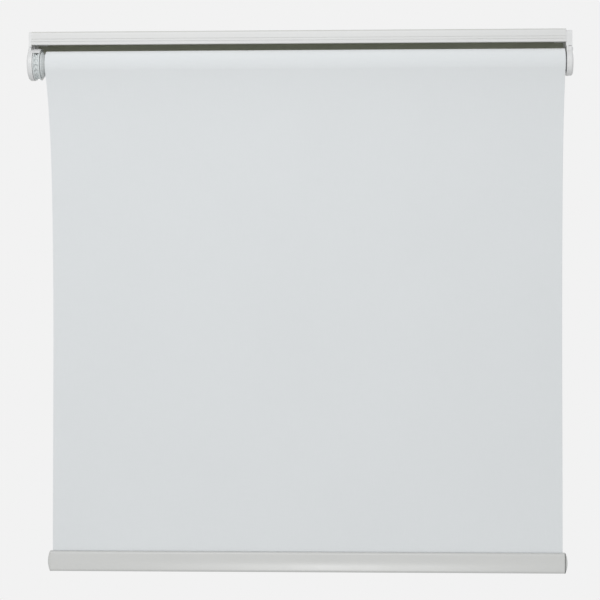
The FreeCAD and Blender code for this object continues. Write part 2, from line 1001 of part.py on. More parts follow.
def bottom_bar_profile():
    """Extrusion with a slot for the fabric, a keeper room and a ballast chamber."""
    x0, x1 = profile_left - overrun, profile_right + overrun
    half_room = keeper_room_width / 2
    cutters = [
        lower_chamber(x0, x1),
        block(
            x0,
            x1,
            panel_y - half_room,
            panel_y + half_room,
            keeper_floor,
            bar_top - bar_roof,
        ),
        block(
            x0,
            x1,
            panel_y + fabric_thickness / 2 - bar_slot / 2,
            panel_y + fabric_thickness / 2 + bar_slot / 2,
            bar_top - bar_roof - overrun,
            bar_top + overrun,
        ),
    ]
    return bar_body(profile_left, profile_right).cut(cutters)


def fabric_keeper():
    """Strip bonded to the fabric's lower end, with a bead that can't pull through."""
    x0 = fabric_left + keeper_inset
    x1 = fabric_right - keeper_inset
    y0 = panel_y + fabric_thickness + keeper_bond
    strip = block(
        x0, x1, y0, y0 + keeper_thickness, panel_end_z, panel_end_z + keeper_height
    )
    bead_y = y0 + keeper_thickness / 2
    bead_z = keeper_floor + keeper_bead_r
    bead = rod(x0, x1, keeper_bead_r, bead_y, bead_z)
    neck = block(
        x0, x1, y0, y0 + keeper_thickness, bead_z, panel_end_z + keeper_thickness
    )
    return joined([strip, neck, bead])


def ballast_bar():
    """Flat steel bar that keeps the fabric taut."""
    middle = panel_y + bar_bulge / 2
    return block(
        profile_left + ballast_inset,
        profile_right - ballast_inset,
        middle - ballast_depth / 2,
        middle + ballast_depth / 2,
        ballast_floor,
        ballast_floor + ballast_height,
    )


def dome_radius(half, rise):
    """Radius of an arc that rises this much over half its chord."""
    return (half**2 + rise**2) / (2 * rise)


def bar_end_cap(x_seat, x_out):
    """A moulded cap on one end of the bar, with a tongue in the ballast chamber."""
    direction = 1 if x_out > x_seat else -1
    dome_r = dome_radius(bar_height / 2, bar_cap_dome)
    crown_r = dome_radius(bar_depth / 2, bar_cap_crown)
    middle_z = (bar_top + bar_bottom) / 2
    centre = FreeCAD.Vector(x_out - direction * dome_r, panel_y, middle_z)
    dome = Part.makeTorus(dome_r - crown_r, crown_r, centre, FreeCAD.Vector(0, 1, 0))
    cap = bar_body(*sorted((x_seat, x_out))).common(dome)
    domed = [face for face in cap.Faces if isinstance(face.Surface, Part.Toroid)]
    cap = cap.makeFillet(bar_cap_round, domed[0].Edges)
    root = x_seat + direction * bar_wall / 2
    x0, x1 = sorted((x_seat - direction * bar_tongue, root))
    return joined([cap, lower_chamber(x0, x1, bar_tongue_clearance)])


def bar_cap_left():
    """Left end of the bottom bar."""
    return bar_end_cap(profile_left, bar_left)


def bar_cap_right():
    """Right end of the bottom bar."""
    return bar_end_cap(profile_right, bar_right)


pieces = (
    headrail_profile,
    control_bracket,
    control_bracket_cover,
    idle_bracket,
    idle_bracket_cover,
    bracket_screws,
    chain_guard,
    chain_wheel,
    clutch_spindle,
    spindle_screw,
    spindle_clip,
    brake_springs,
    drive_crown,
    roller_tube,
    fabric_tape,
    fabric_roll,
    idle_plug,
    idle_pin,
    idle_spring,
    idle_bush,
    fabric_panel,
    bottom_bar_profile,
    fabric_keeper,
    ballast_bar,
    bar_cap_left,
    bar_cap_right,
)

os.makedirs("parts", exist_ok=True)
for make in pieces:
    shape = make()
    shape.exportStep(os.path.join("parts", make.__name__ + ".step"))
    print(make.__name__, len(shape.Solids), round(shape.Volume, 1), shape.isValid())
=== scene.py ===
# %% [markdown]
# # A chain-operated roller blind
# The rigid pieces of this blind, from the headrail down to the brake springs, come from
# a CAD frame that is already at its real size. This lesson dresses that frame: it adds
# the cloth, mixes each finish, and sets up a plain studio. All sizes are in metres.

# %% Load the frame
import math

import bpy
import numpy as np
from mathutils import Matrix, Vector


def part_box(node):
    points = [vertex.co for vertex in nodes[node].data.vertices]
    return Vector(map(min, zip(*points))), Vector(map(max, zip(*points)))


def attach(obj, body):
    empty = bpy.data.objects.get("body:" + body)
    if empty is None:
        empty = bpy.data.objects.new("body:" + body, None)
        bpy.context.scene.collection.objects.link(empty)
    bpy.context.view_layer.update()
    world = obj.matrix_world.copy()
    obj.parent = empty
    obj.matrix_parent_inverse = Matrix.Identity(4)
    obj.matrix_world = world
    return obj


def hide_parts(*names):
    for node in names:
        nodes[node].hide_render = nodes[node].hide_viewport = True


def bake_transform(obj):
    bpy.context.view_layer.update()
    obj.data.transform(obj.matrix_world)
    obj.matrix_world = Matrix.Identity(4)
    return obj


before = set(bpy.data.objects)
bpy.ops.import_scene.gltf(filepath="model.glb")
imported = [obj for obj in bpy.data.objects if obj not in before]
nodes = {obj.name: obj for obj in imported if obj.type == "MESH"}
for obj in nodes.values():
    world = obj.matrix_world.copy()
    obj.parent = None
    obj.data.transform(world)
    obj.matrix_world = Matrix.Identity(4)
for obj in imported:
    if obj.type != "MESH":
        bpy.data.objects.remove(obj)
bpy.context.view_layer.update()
mm = 0.001

# %% [markdown]
# ## The camera
# The blind was photographed from about two metres away, a little to the right of its
# middle and below its rail, so the camera looks up into the gap above the roll. A fit
# to the straight edges of the blind gave the place, the small turn and the long lens.
# The lens shift only recentres the picture, as a shift lens does.

# %% Camera
picture_px = 600
focal_px = 1727.0
principal_px = 342.2
sensor = 36.0
camera_place = (121.2 * mm, -1942.2 * mm, -272.1 * mm)
camera_tilt = -0.159
camera_roll = 0.045
camera_turn = 2.22

camera_data = bpy.data.cameras.new("studio_camera")
camera_data.sensor_width = sensor
camera_data.lens = sensor * focal_px / picture_px
camera_data.shift_x = (picture_px / 2 - principal_px) / picture_px
camera = bpy.data.objects.new("studio_camera", camera_data)
camera.location = camera_place
camera.rotation_euler = [math.radians(a) for a in (90 + camera_tilt, camera_roll, camera_turn)]
bpy.context.scene.collection.objects.link(camera)
bpy.context.scene.camera = camera
print("lens:", round(camera_data.lens, 1), "mm")

# %% [markdown]
# ## Colours
# A finish is easier to judge by the eight-bit values that a screen shows, but Blender
# mixes light in linear values. One small function turns the first into the second.


# %% Screen colours
def screen(red, green, blue):
    """Linear colour of a screen colour: ((c + 0.055) / 1.055) to the power 2.4."""
    share = np.array([red, green, blue]) / 255
    return (*((share + 0.055) / 1.055) ** 2.4, 1.0)


# %% [markdown]
# ## The world
# A white product is shown by its shadows, so the light has to be soft but not even. A
# dim world fills the shadows. The camera, gloss and glass see it as a pale grey instead,
# because Light Path tells their rays from the ones that only carry light.

# %% World
backdrop = screen(242, 242, 242)
ambience = 0.56
ambient_colour = (0.97, 0.99, 1.0, 1.0)

world = bpy.data.worlds.new("studio")
world.use_nodes = True
bpy.context.scene.world = world
tree = world.node_tree
tree.nodes.clear()
path = tree.nodes.new("ShaderNodeLightPath")
seen = tree.nodes.new("ShaderNodeMath")
seen.operation = "MAXIMUM"
tree.links.new(path.outputs["Is Camera Ray"], seen.inputs[0])
tree.links.new(path.outputs["Is Glossy Ray"], seen.inputs[1])
shown = tree.nodes.new("ShaderNodeMath")
shown.operation = "MAXIMUM"
tree.links.new(seen.outputs[0], shown.inputs[0])
tree.links.new(path.outputs["Is Transmission Ray"], shown.inputs[1])
dim = tree.nodes.new("ShaderNodeBackground")
dim.inputs["Color"].default_value = ambient_colour
dim.inputs["Strength"].default_value = ambience
pale = tree.nodes.new("ShaderNodeBackground")
pale.inputs["Color"].default_value = backdrop
choice = tree.nodes.new("ShaderNodeMixShader")
tree.links.new(shown.outputs[0], choice.inputs[0])
tree.links.new(dim.outputs[0], choice.inputs[1])
tree.links.new(pale.outputs[0], choice.inputs[2])
output = tree.nodes.new("ShaderNodeOutputWorld")
tree.links.new(choice.outputs[0], output.inputs["Surface"])
print("world:", ambience, "of ambient light")

# %% [markdown]
# ## The lamps
# A large lamp, above and in front, gives the fabric its slow fall from light to grey. A
# smaller one, low and farther out, lights the underside of the roll and puts the soft
# shine on the bottom bar. The third stands behind, for the side that faces the window.

# %% Lamps
blind_middle = (0.0, -0.02, -0.28)
lamps = {
    "front_lamp": ((-0.2, -1.25, 0.62), (1.0, 0.8), 9.0),
    "low_lamp": ((-0.06, -2.1, -1.3), (0.36, 0.24), 8.8),
    "back_lamp": ((1.4, 2.6, 1.2), (1.6, 1.6), 20.0),
}


def soft_lamp(name, place, size, power):
    """A rectangular lamp at a place, turned to face the middle of the blind."""
    data = bpy.data.lights.new(name, "AREA")
    data.shape = "RECTANGLE"
    data.size, data.size_y = size
    data.energy = power
    lamp = bpy.data.objects.new(name, data)
    offset = np.array(blind_middle) - np.array(place)
    level = math.hypot(offset[0], offset[1])
    lamp.location = place
    lamp.rotation_euler = (
        math.pi / 2 + math.atan2(offset[2], level),
        0.0,
        math.atan2(-offset[0], offset[1]),
    )
    bpy.context.scene.collection.objects.link(lamp)


for name, (place, size, power) in lamps.items():
    soft_lamp(name, place, size, power)
print("lamps:", ", ".join(lamps))

# %% [markdown]
# ## Surfaces from grids
# Cloth and floor are surfaces of two parameters: a grid of points, worked out as one
# array. The faces of a grid follow from its row and column counts alone, so one helper
# turns any such array into a mesh, with flat coordinates where a pattern needs them.


# %% Surface helpers
def grid_faces(rows, columns):
    """Quads of a grid of points: each is its corner's number plus 0, 1, a row and 1, a row."""
    corner = np.arange((rows - 1) * columns).reshape(rows - 1, columns)[:, :-1].ravel()
    return np.stack([corner, corner + 1, corner + columns + 1, corner + columns], axis=1)


def surface(name, points, coordinates=None):
    """A mesh object from a grid of points; coordinates, one pair a point, become its UV map."""
    rows, columns = points.shape[:2]
    faces = grid_faces(rows, columns)
    mesh = bpy.data.meshes.new(name)
    mesh.from_pydata(points.reshape(-1, 3).tolist(), [], faces.tolist())
    mesh.polygons.foreach_set("use_smooth", np.ones(len(faces), bool))
    if coordinates is not None:
        layer = mesh.uv_layers.new(name="cloth")
        pairs = coordinates.reshape(-1, 2)[faces.ravel()]
        layer.data.foreach_set("uv", pairs.astype(np.float32).ravel())
    mesh.update()
    made = bpy.data.objects.new(name, mesh)
    bpy.context.scene.collection.objects.link(made)
    return made


# %% [markdown]
# ## The floor
# The blind hangs, so nothing touches the floor. It lies well below, under the lowest
# place that the bottom bar reaches, and sends a little light back up.

# %% Floor
floor_z = -1.75
floor_half = 4.0

side = np.array([-floor_half, floor_half])
floor_x, floor_y = np.meshgrid(side, side)
floor = surface("floor", np.stack([floor_x, floor_y, np.full_like(floor_x, floor_z)], axis=2))
floor_paint = bpy.data.materials.new("floor_paint")
floor_paint.use_nodes = True
floor_shader = floor_paint.node_tree.nodes["Principled BSDF"]
floor_shader.inputs["Base Color"].default_value = screen(232, 232, 231)
floor_shader.inputs["Roughness"].default_value = 0.9
floor.data.materials.append(floor_paint)
print("floor:", floor_z, "m")

# %% [markdown]
# ## A short way to write node trees
# A shader is a small wiring diagram. Written out, each node takes a line to make, a
# line for each value and a line for each wire. These helpers take them all at once,
# so that a material reads as a list of nodes with what goes into them.


# %% Node helpers
def node(tree, kind, inputs=None, **settings):
    """One node; an input is either a plain value or another node's output."""
    made = tree.nodes.new("ShaderNode" + kind)
    for name, value in settings.items():
        setattr(made, name, value)
    for name, value in (inputs or {}).items():
        if isinstance(value, bpy.types.NodeSocket):
            tree.links.new(value, made.inputs[name])
        else:
            made.inputs[name].default_value = value
    return made


def calculate(tree, operation, *values):
    """A Math node's output."""
    return node(tree, "Math", dict(enumerate(values)), operation=operation).outputs[0]


def mixed(tree, factor, first, second):
    """A colour between two others, by a factor from 0 to 1."""
    values = {0: factor, 6: first, 7: second}
    return node(tree, "Mix", values, data_type="RGBA").outputs[2]


def place_on(tree, axes, scale=(1.0, 1.0, 1.0)):
    """Object coordinates, stretched by a scale, or one of their axes."""
    spot = node(tree, "TexCoord").outputs["Object"]
    if axes == "XYZ":
        return node(tree, "Mapping", {"Vector": spot, "Scale": scale}).outputs[0]
    return node(tree, "SeparateXYZ", {"Vector": spot}).outputs[axes]


# %% [markdown]
# ## Groups and materials
# An effect that several finishes share is built once, as a node group, and each
# material sets its own values on it. The shader itself stays in the material, where
# its plain values sit on its own sockets.


# %% Group and material helpers
def new_group(name, inputs, outputs):
    """A node group with named inputs, given with their defaults, and named outputs."""
    kinds = {float: "NodeSocketFloat", tuple: "NodeSocketColor", str: "NodeSocketVector"}
    tree = bpy.data.node_groups.new(name, "ShaderNodeTree")
    for label, value in inputs.items():
        socket = tree.interface.new_socket(label, in_out="INPUT", socket_type=kinds[type(value)])
        if not isinstance(value, str):
            socket.default_value = value
    for label, kind in outputs.items():
        tree.interface.new_socket(label, in_out="OUTPUT", socket_type="NodeSocket" + kind)
    return tree, tree.nodes.new("NodeGroupInput").outputs, tree.nodes.new("NodeGroupOutput")


def group(tree, name, inputs):
    """A group placed in a material, with its own values; gives the group's outputs."""
    made = node(tree, "Group", node_tree=bpy.data.node_groups[name])
    for label, value in inputs.items():
        if isinstance(value, bpy.types.NodeSocket):
            tree.links.new(value, made.inputs[label])
        else:
            made.inputs[label].default_value = value
    return made.outputs


def new_material(name, **sockets):
    """A material with plain values on the shader's own sockets; gives its tree and shader."""
    material = bpy.data.materials.new(name)
    material.use_nodes = True
    shader = material.node_tree.nodes["Principled BSDF"]
    for label, value in sockets.items():
        shader.inputs[label.replace("_", " ")].default_value = value
    return material, material.node_tree, shader


def lighter(colour, gain):
    """A colour times a gain, held at 1."""
    return tuple(min(1.0, gain * c) for c in colour)


# %% [markdown]
# ## Grain
# No real surface is one flat colour. Powder coat has a fine orange peel, and moulded
# plastic takes the texture of its tool. Both are a fine noise for the height. A slower
# noise, with a part of the fine one, shifts the tone and the gloss. One group serves
# them all, with its own sizes in each finish.

# %% Grain group
grain_inputs = {
    "Colour": (0.8, 0.8, 0.8, 1.0),
    "Tone Spread": 0.03,
    "Roughness": 0.4,
    "Gloss Spread": 0.1,
    "Grain": 900.0,
    "Patch": 25.0,
    "Depth": 0.00001,
    "Normal": "vector",
}
grain_outputs = {"Colour": "Color", "Roughness": "Float", "Normal": "Vector"}
tree, given, result = new_group("grain", grain_inputs, grain_outputs)
spot = place_on(tree, "XYZ")
fine = node(tree, "TexNoise", {"Vector": spot, "Scale": given["Grain"], "Detail": 2.0})
broad = node(tree, "TexNoise", {"Vector": spot, "Scale": given["Patch"], "Detail": 3.0})
fine_shift = calculate(tree, "SUBTRACT", fine.outputs[0], 0.5)
broad_shift = calculate(tree, "SUBTRACT", broad.outputs[0], 0.5)
both = calculate(tree, "ADD", broad_shift, calculate(tree, "MULTIPLY", fine_shift, 0.5))
tone = calculate(tree, "MULTIPLY_ADD", both, given["Tone Spread"], 1.0)
tinted = node(tree, "HueSaturation", {"Color": given["Colour"], "Value": tone})
gloss = calculate(tree, "MULTIPLY_ADD", both, given["Gloss Spread"], given["Roughness"])
bump = node(
    tree,
    "Bump",
    {"Height": fine.outputs[0], "Distance": given["Depth"], "Normal": given["Normal"]},
)
tree.links.new(tinted.outputs[0], result.inputs["Colour"])
tree.links.new(gloss, result.inputs["Roughness"])
tree.links.new(bump.outputs[0], result.inputs["Normal"])
print("group: grain,", len(tree.nodes), "nodes")

# %% [markdown]
# ## Edges
# An extrusion die and a mould both leave a small radius on every edge, and that radius
# is what catches the light. The Bevel node rounds the normals there without any new
# faces. Where the rounded normal differs from the flat one lies an edge, and that
# difference makes a mask for the rubbed, slightly lighter rim.

# %% Edge group
edge_inputs = {"Colour": (0.8, 0.8, 0.8, 1.0), "Rim": (0.9, 0.9, 0.9, 1.0), "Radius": 0.0004}
tree, given, result = new_group("edges", edge_inputs, {"Colour": "Color", "Normal": "Vector"})
rounded = node(tree, "Bevel", {"Radius": given["Radius"]}, samples=6)
flat = node(tree, "NewGeometry").outputs["Normal"]
alike = node(tree, "VectorMath", {0: rounded.outputs[0], 1: flat}, operation="DOT_PRODUCT")
mask = node(
    tree,
    "MapRange",
    {"Value": alike.outputs["Value"], "From Min": 0.98, "From Max": 0.85, "To Max": 0.5},
)
rimmed = mixed(tree, mask.outputs[0], given["Colour"], given["Rim"])
tree.links.new(rimmed, result.inputs["Colour"])
tree.links.new(rounded.outputs[0], result.inputs["Normal"])
print("group: edges,", len(tree.nodes), "nodes")

# %% [markdown]
# ## Drawn metal
# Metal that was pushed through a die carries faint lines along its length. They are a
# noise that is stretched a few hundred times along X, and they shift the gloss more
# than the colour.

# %% Drawn lines group
drawn_inputs = {
    "Colour": (0.7, 0.7, 0.7, 1.0),
    "Tone Spread": 0.06,
    "Roughness": 0.35,
    "Gloss Spread": 0.2,
    "Lines": 700.0,
    "Depth": 0.000004,
    "Normal": "vector",
}
tree, given, result = new_group("drawn lines", drawn_inputs, grain_outputs)
spot = place_on(tree, "XYZ", (0.004, 1.0, 1.0))
lines = node(tree, "TexNoise", {"Vector": spot, "Scale": given["Lines"], "Detail": 3.0})
shift = calculate(tree, "SUBTRACT", lines.outputs[0], 0.5)
tone = calculate(tree, "MULTIPLY_ADD", shift, given["Tone Spread"], 1.0)
tinted = node(tree, "HueSaturation", {"Color": given["Colour"], "Value": tone})
gloss = calculate(tree, "MULTIPLY_ADD", shift, given["Gloss Spread"], given["Roughness"])
bump = node(
    tree,
    "Bump",
    {"Height": lines.outputs[0], "Distance": given["Depth"], "Normal": given["Normal"]},
)
tree.links.new(tinted.outputs[0], result.inputs["Colour"])
tree.links.new(gloss, result.inputs["Roughness"])
tree.links.new(bump.outputs[0], result.inputs["Normal"])
print("group: drawn lines,", len(tree.nodes), "nodes")

# %% [markdown]
# ## Weave
# Blackout cloth is a fine plain weave under a coating. The cloth has its own flat
# coordinates in metres, so threads keep their size and follow every curve. Each thread
# crossing is a small pillow: the root of the product of two sine waves, one each way.
# A few threads are a little thicker, which gives the faint slubs of real yarn.

# %% Weave group
weave_inputs = {
    "Colour": (0.75, 0.75, 0.75, 1.0),
    "Gap Shade": 0.9,
    "Thread": 0.00042,
    "Depth": 0.00005,
    "Slub": 0.02,
    "Patch": 9.0,
    "Patch Spread": 0.02,
}
tree, given, result = new_group("weave", weave_inputs, {"Colour": "Color", "Normal": "Vector"})
flat_place = node(tree, "UVMap", uv_map="cloth").outputs[0]
axes = node(tree, "SeparateXYZ", {"Vector": flat_place}).outputs
slub_scale = 4000.0
slub_long = 0.012
slub_wide = 0.35
slub_stretch = ((slub_wide, slub_long, 1.0), (slub_long, slub_wide, 1.0))
waves = []
slubs = []
for axis, stretch in enumerate(slub_stretch):
    turns = calculate(tree, "DIVIDE", axes[axis], given["Thread"])
    wave = calculate(tree, "SINE", calculate(tree, "MULTIPLY", turns, math.pi))
    waves.append(calculate(tree, "ABSOLUTE", wave))
    along = node(tree, "Mapping", {"Vector": flat_place, "Scale": stretch}).outputs[0]
    slub = node(tree, "TexNoise", {"Vector": along, "Scale": slub_scale, "Detail": 1.0})
    slubs.append(slub.outputs[0])
crossing = calculate(tree, "SQRT", calculate(tree, "MULTIPLY", waves[0], waves[1]))
slub_sum = calculate(tree, "ADD", slubs[0], slubs[1])
slub_shift = calculate(tree, "SUBTRACT", slub_sum, 1.0)
patch = node(tree, "TexNoise", {"Vector": flat_place, "Scale": given["Patch"], "Detail": 2.0})
patch_shift = calculate(tree, "SUBTRACT", patch.outputs[0], 0.5)
gap = node(
    tree,
    "MapRange",
    {"Value": crossing, "From Max": 0.6, "To Min": given["Gap Shade"], "To Max": 1.0},
).outputs[0]
tone = calculate(tree, "MULTIPLY_ADD", slub_shift, given["Slub"], gap)
tone = calculate(tree, "MULTIPLY_ADD", patch_shift, given["Patch Spread"], tone)
tinted = node(tree, "HueSaturation", {"Color": given["Colour"], "Value": tone})
height = calculate(tree, "ADD", crossing, calculate(tree, "MULTIPLY", slub_shift, 0.3))
bump = node(tree, "Bump", {"Height": height, "Distance": given["Depth"]})
tree.links.new(tinted.outputs[0], result.inputs["Colour"])
tree.links.new(bump.outputs[0], result.inputs["Normal"])
print("group: weave,", len(tree.nodes), "nodes")

# %% [markdown]
# ## Powder coat
# The headrail and the bottom bar are aluminium extrusions with a satin powder coat. The
# rail is a neutral white and the bar a warm light grey. The rail's inner faces are painted
# a dull grey-green, as painted shade for the deep channel. The position in the profile
# says which faces those are.


# %% Rail and bar finish
powder_edge = 0.3 * mm
rail_skin = 0.7 * mm
fascia_height = 14.8 * mm
lip_depth = 6 * mm
half_step = 0.05 * mm


def painted(name, colour, rim, roughness):
    """Powder coat: the edge group for rims, then the grain group for orange peel."""
    material, tree, shader = new_material(name, IOR=1.47)
    edges = group(tree, "edges", {"Colour": colour, "Rim": rim, "Radius": powder_edge})
    peel = {
        "Colour": edges["Colour"],
        "Tone Spread": 0.03,
        "Roughness": roughness,
        "Gloss Spread": 0.12,
        "Grain": 1400.0,
        "Patch": 18.0,
        "Depth": 0.000006,
        "Normal": edges["Normal"],
    }
    grain = group(tree, "grain", peel)
    tree.links.new(grain["Colour"], shader.inputs["Base Color"])
    tree.links.new(grain["Roughness"], shader.inputs["Roughness"])
    tree.links.new(grain["Normal"], shader.inputs["Normal"])
    return material, tree, shader


def beyond(tree, value, limit):
    """1 where a value is above a limit, with a soft step of a tenth of a millimetre."""
    reach = {"Value": value, "From Min": limit - half_step, "From Max": limit + half_step}
    return node(tree, "MapRange", reach).outputs[0]


rail_white = screen(215, 215, 214)
rail_rim = screen(218, 218, 217)
# painted shade: a dark grey-green for the faces inside the rail's channel
channel_shade_colour = screen(184, 186, 169)
rail_paint, tree, shader = painted("rail_paint", rail_white, rail_rim, 0.4)
rail_low, rail_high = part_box("headrail_profile")
fascia_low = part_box("control_bracket")[1].z - fascia_height
depth = place_on(tree, "Y")
rise = place_on(tree, "Z")
behind_front = beyond(tree, depth, rail_low.y + 2 * rail_skin)
before_back = calculate(tree, "SUBTRACT", 1.0, beyond(tree, depth, -rail_skin))
under_top = calculate(tree, "SUBTRACT", 1.0, beyond(tree, rise, rail_high.z - rail_skin))
over_lip = calculate(
    tree,
    "MAXIMUM",
    beyond(tree, rise, fascia_low + rail_skin),
    beyond(tree, depth, rail_low.y + lip_depth),
)
# mask of the channel's inner faces, where the shade is painted
channel_shade_mask = calculate(tree, "MULTIPLY", behind_front, before_back)
channel_shade_mask = calculate(tree, "MULTIPLY", channel_shade_mask, under_top)
channel_shade_mask = calculate(tree, "MULTIPLY", channel_shade_mask, over_lip)
powder = shader.inputs["Base Color"].links[0].from_socket
powder_with_channel_shade = mixed(tree, channel_shade_mask, powder, channel_shade_colour)
tree.links.new(powder_with_channel_shade, shader.inputs["Base Color"])

bar_grey = screen(205, 205, 203)
bar_rim = screen(208, 208, 206)
bar_paint = painted("bar_paint", bar_grey, bar_rim, 0.31)[0]
print("powder coat: rail and bar")

# %% [markdown]
# ## Moulded plastics
# The brackets and covers are smooth white mouldings. The clutch parts are natural
# nylon, a little see-through, so light scatters under their surface. The idle plug and
# bush are a light grey, and the bar's caps match the bar.


# %% Plastics
def moulded(name, colour, roughness, scatter=0.0, grain=900.0, depth=0.000008):
    """Moulded plastic with a fine tool texture; scatter is its share of inner light."""
    material, tree, shader = new_material(
        name, Subsurface_Weight=scatter, Subsurface_Scale=0.8 * mm, IOR=1.5
    )
    shader.inputs["Subsurface Radius"].default_value = (1.0, 0.9, 0.85)
    rim = lighter(colour, 1.06)
    edges = group(tree, "edges", {"Colour": colour, "Rim": rim, "Radius": 0.25 * mm})
    texture = {
        "Colour": edges["Colour"],
        "Tone Spread": 0.05,
        "Roughness": roughness,
        "Gloss Spread": 0.15,
        "Grain": grain,
        "Patch": 60.0,
        "Depth": depth,
        "Normal": edges["Normal"],
    }
    made = group(tree, "grain", texture)
    tree.links.new(made["Colour"], shader.inputs["Base Color"])
    tree.links.new(made["Roughness"], shader.inputs["Roughness"])
    tree.links.new(made["Normal"], shader.inputs["Normal"])
    return material


white_plastic = moulded("white_plastic", screen(220, 220, 220), 0.3, 0.05)
clutch_plastic = moulded("clutch_plastic", screen(211, 215, 215), 0.38, 0.12)
grey_plastic = moulded("grey_plastic", screen(203, 206, 208), 0.42, 0.05)
bar_plastic = moulded("bar_plastic", screen(200, 200, 198), 0.36, 0.0, 700.0)
print("plastics: white, clutch, grey, bar")

# %% [markdown]
# ## The joint of the right bar cap
# The left cap sits tight, but the right one stands off a hair, and the groove beside it
# holds a dark line of shadow and dust. The line is narrow enough to be painted on, by
# the distance along the bar, where it follows the cap's outline all the way round.

# %% Joint line
joint_start = 0.2 * mm
joint_end = 1.4 * mm
joint_shade = screen(118, 118, 116)
bar_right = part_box("bottom_bar_profile")[1].x
tree = bar_plastic.node_tree
shader = tree.nodes["Principled BSDF"]
along_bar = place_on(tree, "X")
line_begins = beyond(tree, along_bar, bar_right + joint_start)
line_ends = beyond(tree, along_bar, bar_right + joint_end)
joint_line = calculate(tree, "SUBTRACT", line_begins, line_ends)
plastic = shader.inputs["Base Color"].links[0].from_socket
tree.links.new(mixed(tree, joint_line, plastic, joint_shade), shader.inputs["Base Color"])
print("joint line at", round(bar_right / mm, 1), "mm")

# %% [markdown]
# ## Metals and tape
# The roller tube is mill-finish aluminium with drawn lines along it. Screws, springs,
# clip, pin and ballast are zinc-plated steel. The tape on the tube is a thin
# cream-coloured film.


# %% Metals
def metal(name, colour, roughness, lines):
    """Bare metal with drawn lines along X and softened edges."""
    material, tree, shader = new_material(name, Metallic=1.0)
    rim = lighter(colour, 1.15)
    edges = group(tree, "edges", {"Colour": colour, "Rim": rim, "Radius": 0.15 * mm})
    drawn = {
        "Colour": edges["Colour"],
        "Roughness": roughness,
        "Lines": lines,
        "Normal": edges["Normal"],
    }
    made = group(tree, "drawn lines", drawn)
    tree.links.new(made["Colour"], shader.inputs["Base Color"])
    tree.links.new(made["Roughness"], shader.inputs["Roughness"])
    tree.links.new(made["Normal"], shader.inputs["Normal"])
    return material


tube_metal = metal("tube_aluminium", screen(205, 206, 208), 0.34, 900.0)
zinc_steel = metal("zinc_steel", screen(176, 178, 182), 0.3, 400.0)
tape_film = moulded("tape_film", screen(226, 222, 205), 0.25, 0.1)
print("metals: tube and zinc steel")

# %% [markdown]
# ## Finishes on the CAD pieces
# A CAD node keeps its shape and its place. Only its material slot changes.

# %% Paint the CAD nodes
finishes = {
    "headrail_profile": (rail_paint, "rail_paint"),
    "control_bracket": (white_plastic, "white_plastic"),
    "control_bracket_cover": (white_plastic, "white_plastic"),
    "idle_bracket": (white_plastic, "white_plastic"),
    "idle_bracket_cover": (white_plastic, "white_plastic"),
    "chain_guard": (white_plastic, "white_plastic"),
    "chain_wheel": (clutch_plastic, "clutch_plastic"),
    "clutch_spindle": (clutch_plastic, "clutch_plastic"),
    "drive_crown": (clutch_plastic, "clutch_plastic"),
    "fabric_keeper": (clutch_plastic, "clutch_plastic"),
    "idle_plug": (grey_plastic, "grey_plastic"),
    "idle_bush": (grey_plastic, "grey_plastic"),
    "bar_cap_left": (bar_plastic, "bar_plastic"),
    "bar_cap_right": (bar_plastic, "bar_plastic"),
    "bottom_bar_profile": (bar_paint, "bar_paint"),
    "roller_tube": (tube_metal, "tube_aluminium"),
    "bracket_screws": (zinc_steel, "steel"),
    "spindle_screw": (zinc_steel, "steel"),
    "spindle_clip": (zinc_steel, "steel"),
    "brake_springs": (zinc_steel, "steel"),
    "idle_pin": (zinc_steel, "steel"),
    "idle_spring": (zinc_steel, "steel"),
    "ballast_bar": (zinc_steel, "steel"),
    "fabric_tape": (tape_film, "tape"),
}
for name, (material, slot) in finishes.items():
    nodes[name].data.materials.clear()
    nodes[name].data.materials.append(material)
print("painted", len(finishes), "CAD nodes")

# %% [markdown]
# ## Blackout cloth
# The room side shows the weave. The back has a smooth white blackout coating, whose
# faint weave only just comes through, and the heat-cut edge is a closed, duller line.


# %% Cloth finishes
def cloth(name, colour, gap_shade, depth, roughness):
    """Woven cloth on the piece's own flat coordinates."""
    material, tree, shader = new_material(
        name, Roughness=roughness, Sheen_Weight=0.4, Diffuse_Roughness=1.0
    )
    threads = {"Colour": colour, "Gap Shade": gap_shade, "Depth": depth}
    weave = group(tree, "weave", threads)
    tree.links.new(weave["Colour"], shader.inputs["Base Color"])
    tree.links.new(weave["Normal"], shader.inputs["Normal"])
    return material


cloth_front = cloth("cloth_front", screen(228, 230, 231), 0.97, 0.03 * mm, 0.8)
cloth_back = cloth("cloth_back", screen(232, 232, 229), 0.985, 0.008 * mm, 0.55)
cloth_edge = cloth("cloth_edge", screen(205, 206, 206), 0.97, 0.01 * mm, 0.6)
print("cloth: front, back, edge")

# %% [markdown]
# ## The hanging cloth
# In profile the cloth is one line. It starts as the outermost turn of the roll, a
# spiral that sinks by one layer a turn, so that its hidden end lies under the place
# where it leaves. From there it falls back towards the wall plane in a long
# exponential ease, and runs straight into the slot of the bottom bar. The line is
# carried across the width.

# %% Profile of the hanging cloth
cloth_thickness = 0.36 * mm
leave_deg = -32.0
fall_bow = 4.5 * mm
tuck_deg = 335.0
layer_gap = 0.05 * mm
wrap_steps = 120
drop_steps = 150
drop_crowding = 1.6

tube_low, tube_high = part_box("roller_tube")
panel_low, panel_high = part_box("fabric_panel")
bar_low, bar_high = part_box("bottom_bar_profile")
axis_y = (tube_low.y + tube_high.y) / 2
axis_z = (tube_low.z + tube_high.z) / 2
roll_radius = axis_y - panel_low.y
outer_radius = roll_radius - cloth_thickness / 2
layer_step = cloth_thickness + layer_gap
print("roll radius", round(roll_radius / mm, 2), "mm about y", round(axis_y / mm, 2))


def round_axis(radius, degrees):
    """Points (y, z) about the roller axis; 0 is the room side and 90 the top."""
    angle = np.radians(degrees)
    return np.stack([axis_y - radius * np.cos(angle), axis_z + radius * np.sin(angle)], axis=1)


